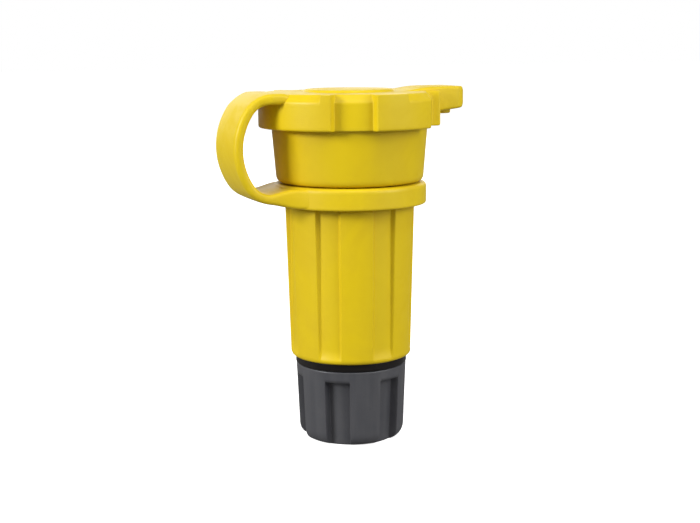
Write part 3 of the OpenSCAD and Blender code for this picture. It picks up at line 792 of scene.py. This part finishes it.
def loopPath(s):
    # centre line of the strap in (outwards, height), from the cap's roof round to the ring
    half = (strapHigh[2] - strapLow[2]) / 2
    middle = (strapHigh[2] + strapLow[2]) / 2
    rise = half - s["bend"]
    big = (half ** 2 + s["reach"] ** 2 - 2 * half * s["bend"]) / (2 * (s["reach"] - s["bend"]))
    turn = math.degrees(math.atan2(rise, big - s["reach"]))
    inset = s["thick"] / 2
    pieces = [(0.0, rise, s["bend"], 90.0, turn), (s["reach"] - big, 0.0, big, turn, -turn),
              (0.0, -rise, s["bend"], -turn, -90.0)]
    path = []
    for x, z, r, a, b in pieces:
        for k in range(s["steps"] + 1):
            t = math.radians(a + (b - a) * k / s["steps"])
            point = Vector((x + (r - inset) * math.cos(t), z + middle + (r - inset) * math.sin(t)))
            if not path or (point - path[-1]).length > 0.05:
                path.append(point)
    first, last = path[0], path[-1]
    steps = s["runSteps"]
    lead = [Vector((-s["capRun"] * (1 - k / steps), first.y)) for k in range(steps)]
    tail = [Vector((-s["ringRun"] * (k + 1) / steps, last.y)) for k in range(steps)]
    return lead + path + tail


def roundedBar(half, up, down, corner, side=14, turnSteps=4):
    # the outline of a flat bar, as (across, outwards), from its outer face round to its inner face
    c = min(corner, (up + down) * 0.49)
    points = []
    for cx, cn, start in ((half - c, up - c, 0), (c - half, up - c, 90), (c - half, c - down, 180),
                          (half - c, c - down, 270)):
        arc = [(cx + c * math.cos(math.radians(start + 90 * k / turnSteps)),
                cn + c * math.sin(math.radians(start + 90 * k / turnSteps))) for k in range(turnSteps + 1)]
        if start in (90, 270):
            before = points[-1]
            points += [(before[0] + (arc[0][0] - before[0]) * k / side, arc[0][1]) for k in range(1, side)]
        points += arc
    return points


def makeStrap(s):
    root = -strapHigh[0]
    path = loopPath(s)
    lengths = [0.0]
    for a, b in zip(path, path[1:]):
        lengths.append(lengths[-1] + (b - a).length)
    total = lengths[-1]
    verts = []
    for i, p in enumerate(path):
        ahead = (path[min(i + 1, len(path) - 1)] - path[max(i - 1, 0)]).normalized()
        outwards = Vector((-ahead.y, ahead.x))
        capShare = 1 - smoothStep(lengths[i], s["capRun"], s["capRun"] + s["capFlareRun"])
        left = total - lengths[i]
        ringShare = 1 - smoothStep(left, s["ringFull"] * s["ringFlareRun"], s["ringFade"] * s["ringFlareRun"])
        fillet = max(0.0, 1 - left / s["ringFlareRun"]) ** 2
        half = s["width"] / 2 + s["capFlare"] * capShare ** 2 + s["ringFlare"] * fillet
        sunk = 1 - smoothStep(lengths[i], 0.0, s["capSink"])
        up = s["thick"] / 2 + s["ringDrop"] * ringShare + s["capRise"] * (capShare - s["sinkShare"] * sunk)
        down = s["thick"] / 2 + s["ringRise"] * ringShare
        outline = roundedBar(half, up, down, s["corner"])
        for y, n in outline:
            n -= math.copysign(s["crown"], n) * (y / half) ** 2
            x = -root - p.x - outwards.x * n
            if math.hypot(x, y) < s["ringInner"]:  # the end stops inside the ring's own wall
                x = -math.sqrt(s["ringInner"] ** 2 - y ** 2)
            verts.append((x, y, p.y + outwards.y * n))
    obj = meshObject("capStrap", verts, barFaces(len(path), len(outline)), yellowCap)
    fixNormals(obj)
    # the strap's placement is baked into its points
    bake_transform(obj)
    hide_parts("cap_strap")


makeStrap(strapSettings)
print("strap made")

# ---------- cord nut ----------
nutSettings = {
    "columns": 220, "topR": 19.15, "lowR": 18.05, "baseRound": 4.6, "topRound": 0.5, "hole": 9.0,
    "floor": 4.5, "threadR": 13.55, "pocketR": 15.47, "pocket": 2.4,
    "recesses": 6, "firstRecess": 234.2, "recessWidth": 27.6, "wall": 1.2, "depth": 2.9,
    "band": 4.0, "bandFade": 0.5,
}


def makeNut(s):
    base, top = nutLow[2], nutHigh[2]
    corners = [
        (s["pocketR"], top, 0.3), (s["topR"], top, s["topRound"]), (s["lowR"], base, s["baseRound"]),
        (s["hole"], base, 0.5), (s["hole"], base + s["floor"], 0.2), (s["threadR"], base + s["floor"], 0.2),
        (s["threadR"], top - s["pocket"], 0.2), (s["pocketR"], top - s["pocket"], 0.2)]
    outline = softOutline(corners, longest=1.0, arcSteps=7, closed=True)
    half = (s["recessWidth"] - s["wall"]) / 2
    walls = [s["firstRecess"] + 360.0 / s["recesses"] * k + side * half
             for k in range(s["recesses"]) for side in (-1, 1)]
    angles = crowdedAngles(s["columns"], walls, s["wall"], 12)
    obj = turned("cordNut", lambda angle: outline, angles, greyNylon)
    ceiling = top - s["band"]

    def recessWeight(p):
        # a point moves in just as far as the recess floor, so the rounded base meets it smoothly
        wallR = s["lowR"] + (s["topR"] - s["lowR"]) * (p.z - base) / (top - base)
        inward = (math.hypot(p.x, p.y) - wallR + s["depth"]) / s["depth"]
        return min(max(inward, 0.0), 1.0) * (1 - smoothStep(p.z, ceiling - s["bandFade"], ceiling))

    paintWeight(obj, "recess", recessWeight)
    runTree(obj, fluteTree, {
        "Count": s["recesses"], "Turn": math.radians(s["firstRecess"]),
        "Half Width": math.radians(s["recessWidth"] / 2), "Wall": math.radians(s["wall"]),
        "Depth": s["depth"] * mm, "Material": greyNylon})
    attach(obj, "nut")
    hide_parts("cord_nut")


makeNut(nutSettings)
print("nut made")

# ---------- core housing with its threaded spigot ----------
coreSettings = {
    "columns": 288, "spigotR": 13.47, "spigotIn": 10.97, "bandR": 19.3, "band": 2.7, "coreR": 17.4,
    "coreIn": 15.4, "flangeR": 21.9, "flange": 3.0, "pitch": 3.0, "threadDepth": 1.1,
    "crest": 0.3, "threadStart": 1.5, "runOutLow": 4.5, "runOutHigh": 3.2, "wallLow": 0.6, "wallHigh": 0.1,
}


def makeCore(s):
    low, high = coreLow[2], coreHigh[2]
    gripZ = jacketLow[2]
    bandZ = gripZ - s["band"]
    corners = [
        (s["coreIn"], high, 0.3), (s["flangeR"], high, 0.4), (s["flangeR"], high - s["flange"], 0.3),
        (s["coreR"], high - s["flange"], 0.2), (s["coreR"], gripZ, 0.2), (s["bandR"], gripZ, 0.3),
        (s["bandR"], bandZ, 0.5), (s["spigotR"], bandZ, 0.3), (s["spigotR"], low, 0.6),
        (s["spigotIn"], low, 0.3), (s["spigotIn"], gripZ, 0.2), (s["coreIn"], gripZ, 0.3)]
    outline = softOutline(corners, longest=0.5, arcSteps=4, closed=True)
    obj = turned("coreHousing", lambda angle: outline, evenAngles(s["columns"]), blackNylon)

    def threadWeight(p):
        # only on the spigot's outer wall, fading in at its end and out before the band
        away = math.hypot(p.x, p.y)
        if away >= s["spigotR"] + s["wallHigh"]:
            return 0.0
        onWall = smoothStep(away, s["spigotR"] - s["wallLow"], s["spigotR"] - s["wallHigh"])
        runOut = 1 - smoothStep(p.z, bandZ - s["runOutLow"], bandZ - s["runOutHigh"])
        return onWall * smoothStep(p.z, low, low + s["threadStart"]) * runOut

    paintWeight(obj, "thread", threadWeight)
    runTree(obj, threadTree, {"Pitch": s["pitch"] * mm, "Depth": s["threadDepth"] * mm,
                              "Crest": s["crest"], "Material": blackNylon})
    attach(obj, "root")
    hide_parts("core_housing")


makeCore(coreSettings)
print("core made")

# ---------- seals and grommet ----------
sealSettings = {
    "grommetR": 10.87, "grommetBore": 6.4, "ribs": 5, "ribDepth": 0.45, "grooveShare": 0.22, "ribRound": 0.15,
    "lip": 2.4, "lipDip": 0.5, "ringR": 0.9, "ringSteps": 16,
}


def placePiece(obj, body, node):
    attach(obj, body)
    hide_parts(node)


def makeSeals(s):
    low, high = (c[2] for c in boxOf("cord_grommet"))
    height = high - low
    corners = [(s["grommetBore"], high, 0.6), (s["grommetR"], high, 0.6), (s["grommetR"], low, 0.6),
               (s["grommetBore"], low, 0.6)]
    for k in range(s["ribs"]):  # grooves along the bore, between the ribs that bite on the cord
        z = low + height * (k + 0.5) / s["ribs"]
        half = height / s["ribs"] * s["grooveShare"]
        bore, groove, soft = s["grommetBore"], s["grommetBore"] + s["ribDepth"], s["ribRound"]
        corners += [(bore, z - half, soft), (groove, z - half * 0.5, soft),
                    (groove, z + half * 0.5, soft), (bore, z + half, soft)]
    outline = softOutline(corners, longest=1.5, arcSteps=2, closed=True)
    placePiece(turned("cordGrommet", lambda a: outline, evenAngles(96), blackRubber), "root", "cord_grommet")

    sealLow, sealHigh = boxOf("mouth_seal")
    outer = sealHigh[0]
    corners = [(outer - s["lip"], sealHigh[2], 0.5), (outer - s["lipDip"], sealHigh[2] - s["lipDip"], 0.4),
               (outer, sealHigh[2], 0.3), (outer, sealLow[2], 0.3), (outer - s["lip"], sealLow[2], 0.3)]
    lipOutline = softOutline(corners, longest=0.8, closed=True)
    placePiece(turned("mouthSeal", lambda a: lipOutline, evenAngles(160), blackRubber), "root", "mouth_seal")

    ringBottom, ringTop = boxOf("nut_seal")
    centreR, centreZ = ringTop[0] - s["ringR"], (ringTop[2] + ringBottom[2]) / 2
    roundOutline = []
    for k in range(s["ringSteps"]):
        a = math.radians(-360.0 / s["ringSteps"] * k)
        roundOutline.append((centreR + s["ringR"] * math.cos(a), centreZ + s["ringR"] * math.sin(a)))
    placePiece(turned("nutSeal", lambda a: roundOutline, evenAngles(128), blackRubber), "root", "nut_seal")


makeSeals(sealSettings)
print("seals made")

# ---------- inner pieces, softened from their own solids ----------
innerPieces = [  # name, frame node, body, material and width of the softened edge
    ("facePlate", "face_plate", "root", faceNylon, 0.35),
    ("contactCarrier", "contact_carrier", "root", ivoryNylon, 0.3),
    ("rearRetainer", "rear_retainer", "root", ivoryNylon, 0.3),
    ("lineContact", "line_contact", "root", brassStrip, 0.15),
    ("neutralContact", "neutral_contact", "root", tinnedStrip, 0.15),
    ("earthContact", "earth_contact", "root", brassStrip, 0.12),
    ("contactSprings", "contact_springs", "root", zincScrew, 0.12),
    ("clampPlates", "clamp_plates", "root", brassStrip, 0.2),
    ("cordCollet", "cord_collet", "root", ivoryNylon, 0.2),
    ("slipRing", "slip_ring", "slip", zincScrew, 0.2),
]


def makeInner(name, node, body, material, rounding):
    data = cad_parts[node].data.copy()
    data.name = name
    obj = bpy.data.objects.new(name, data)
    bpy.context.scene.collection.objects.link(obj)
    data.materials.clear()
    data.materials.append(material)
    mesh = bmesh.new()
    mesh.from_mesh(data)
    bmesh.ops.remove_doubles(mesh, verts=mesh.verts, dist=2e-6)
    bmesh.ops.dissolve_limit(mesh, angle_limit=math.radians(1.0), verts=mesh.verts, edges=mesh.edges)
    mesh.to_mesh(data)
    mesh.free()
    bevel = obj.modifiers.new("softEdges", "BEVEL")
    bevel.width, bevel.segments = rounding * mm, 2
    bevel.limit_method, bevel.angle_limit = "ANGLE", math.radians(40)
    bevel.use_clamp_overlap = True
    applyModifiers(obj)
    data = obj.data
    data.polygons.foreach_set("use_smooth", [True] * len(data.polygons))
    data.set_sharp_from_angle(angle=math.radians(35))
    placePiece(obj, body, node)


for piece in innerPieces:
    makeInner(*piece)
print("inner pieces made")

# ---------- screws ----------
screwSettings = {
    "segments": 40, "slot": 0.9, "slotDepth": 0.8, "slotReach": 0.5, "round": 0.35,
    "face": {"shank": 1.5, "length": 9.1, "head": 2.7, "height": 2.4, "slotTurn": 0.6},
    "retainer": {"shank": 1.2, "length": 9.0, "head": 2.2, "height": 1.6, "circle": 11.9,
                 "directions": (0, 125, 235)},
    "terminal": {"shank": 1.7, "length": 4.1, "head": 3.2, "height": 2.0, "sideX": 4.5},
}


def makeScrew(name, kind, s):
    # one screw along +Z, the underside of its head at the origin, with a driver slot
    shank, length, head, height = (kind[key] for key in ("shank", "length", "head", "height"))
    corners = [(0.0, height, 0.0), (head, height, s["round"]), (head, 0.0, 0.15), (shank, 0.0, 0.1),
               (shank, -length + 0.4, 0.1), (shank - 0.4, -length, 0.1), (0.0, -length, 0.0)]
    outline = softOutline(corners, longest=0.45, arcSteps=3)
    obj = turned(name, lambda a: outline, evenAngles(s["segments"]), zincScrew, closed=False)
    for v in obj.data.vertices:
        x, z = abs(v.co.y) / mm, v.co.z / mm
        if x < s["slot"] / 2 and z > height - s["slotReach"]:
            v.co.z -= s["slotDepth"] * mm
    return obj


def screwSet(name, node, body, screw, places):
    points = meshObject(name, [p for p, _ in places], [], zincScrew)
    facing = points.data.attributes.new("facing", "FLOAT_VECTOR", "POINT")
    facing.data.foreach_set("vector", [c for _, turn in places for c in turn])
    runTree(points, screwTree, {"Screw": screw, "Scale": 1.0, "Material": zincScrew})
    points.data.set_sharp_from_angle(angle=math.radians(40))
    placePiece(points, body, node)
    bpy.data.objects.remove(screw)


def makeScrews(s):
    kind = s["face"]
    ring = boxOf("face_screws")[1][1] - kind["head"]
    headZ = boxOf("mouth_seal")[0][2] - kind["height"]
    screwSet("faceScrews", "face_screws", "root", makeScrew("faceScrew", kind, s),
             [((0, ring * side, headZ), (0, 0, kind["slotTurn"] * side)) for side in (-1, 1)])

    kind = s["retainer"]
    headZ = boxOf("rear_retainer")[0][2]
    places = []
    for a in kind["directions"]:
        x, y = kind["circle"] * math.cos(math.radians(a)), kind["circle"] * math.sin(math.radians(a))
        places.append(((x, y, headZ), (math.pi, 0, a)))  # each slot stops at an angle of its own
    screwSet("retainerScrews", "retainer_screws", "root", makeScrew("retainerScrew", kind, s), places)

    kind = s["terminal"]
    low, high = boxOf("terminal_screws")
    z = (low[2] + high[2]) / 2
    quarter = math.pi / 2
    places = [((kind["sideX"], high[1] - kind["height"], z), (-quarter, 0, 0)),
              ((kind["sideX"], low[1] + kind["height"], z), (quarter, 0, 0)),
              ((low[0] + kind["height"], 0, z), (0, -quarter, 0))]
    screwSet("terminalScrews", "terminal_screws", "root", makeScrew("terminalScrew", kind, s), places)


makeScrews(screwSettings)
print("screws made")

# ---------- floor and light ----------
stageSettings = {
    "half": 6.0, "seen": colour(0.72, 0.72, 0.72), "bounce": colour(0.24, 0.24, 0.24),
    "glow": colour(0.86, 0.86, 0.86),
}
lightSettings = {
    "room": 0.26, "backdrop": 1.0, "aim": (0, 0, 0.07),
    "key": {"place": (-1.10, -0.15, 0.52), "size": (0.35, 0.35), "power": 12.0},
    "fill": {"place": (0.72, -0.80, 0.52), "size": (0.7, 0.7), "power": 8.6},
    "top": {"place": (-0.10, -0.60, 1.05), "size": (0.9, 0.9), "power": 5.8},
    "back": {"place": (0.40, 1.30, 0.55), "size": (1.8, 1.0), "power": 7.5},
}


def makeStage(s):
    # the floor is white to look at, with a soft shadow, and throws less light back up than it shows
    material = bpy.data.materials.new("paleFloor")
    material.use_nodes = True
    tree = material.node_tree
    shader = tree.nodes["Principled BSDF"]
    path = tree.nodes.new("ShaderNodeLightPath")
    seen = path.outputs["Is Camera Ray"]
    link(tree, mixColour(tree, seen, s["bounce"], s["seen"]), shader.inputs["Base Color"])
    shader.inputs["Roughness"].default_value = 0.9
    shader.inputs["Specular IOR Level"].default_value = 0.0
    dark = colour(0.0, 0.0, 0.0)
    link(tree, mixColour(tree, seen, dark, s["glow"]), shader.inputs["Emission Color"])
    shader.inputs["Emission Strength"].default_value = 1.0
    data = bpy.data.meshes.new("floor")
    h = s["half"]
    data.from_pydata([(-h, -h, 0), (h, -h, 0), (h, h, 0), (-h, h, 0)], [], [[0, 1, 2, 3]])
    data.materials.append(material)
    floor = bpy.data.objects.new("floor", data)
    bpy.context.scene.collection.objects.link(floor)


def areaLight(name, s, aim):
    data = bpy.data.lights.new(name, "AREA")
    data.shape, data.size, data.size_y = "RECTANGLE", s["size"][0], s["size"][1]
    data.energy = s["power"]
    obj = bpy.data.objects.new(name, data)
    direction = Vector(aim) - Vector(s["place"])
    turn = direction.to_track_quat("-Z", "Y").to_matrix().to_4x4()
    obj.matrix_world = Matrix.Translation(s["place"]) @ turn
    bpy.context.scene.collection.objects.link(obj)


def makeLights(s):
    world = bpy.data.worlds.new("paleRoom")
    bpy.context.scene.world = world
    world.use_nodes = True
    tree = world.node_tree
    background = tree.nodes["Background"]
    path = tree.nodes.new("ShaderNodeLightPath")
    background.inputs["Color"].default_value = (1.0, 1.0, 1.0, 1.0)
    link(tree, smoothRange(tree, path.outputs["Is Camera Ray"], 0.0, 1.0, s["room"], s["backdrop"]),
         background.inputs["Strength"])
    for name in ("key", "fill", "top", "back"):
        areaLight(name + "Light", s[name], s["aim"])


makeStage(stageSettings)
makeLights(lightSettings)
bpy.context.scene.view_settings.view_transform = "Standard"
print("stage and lights made")
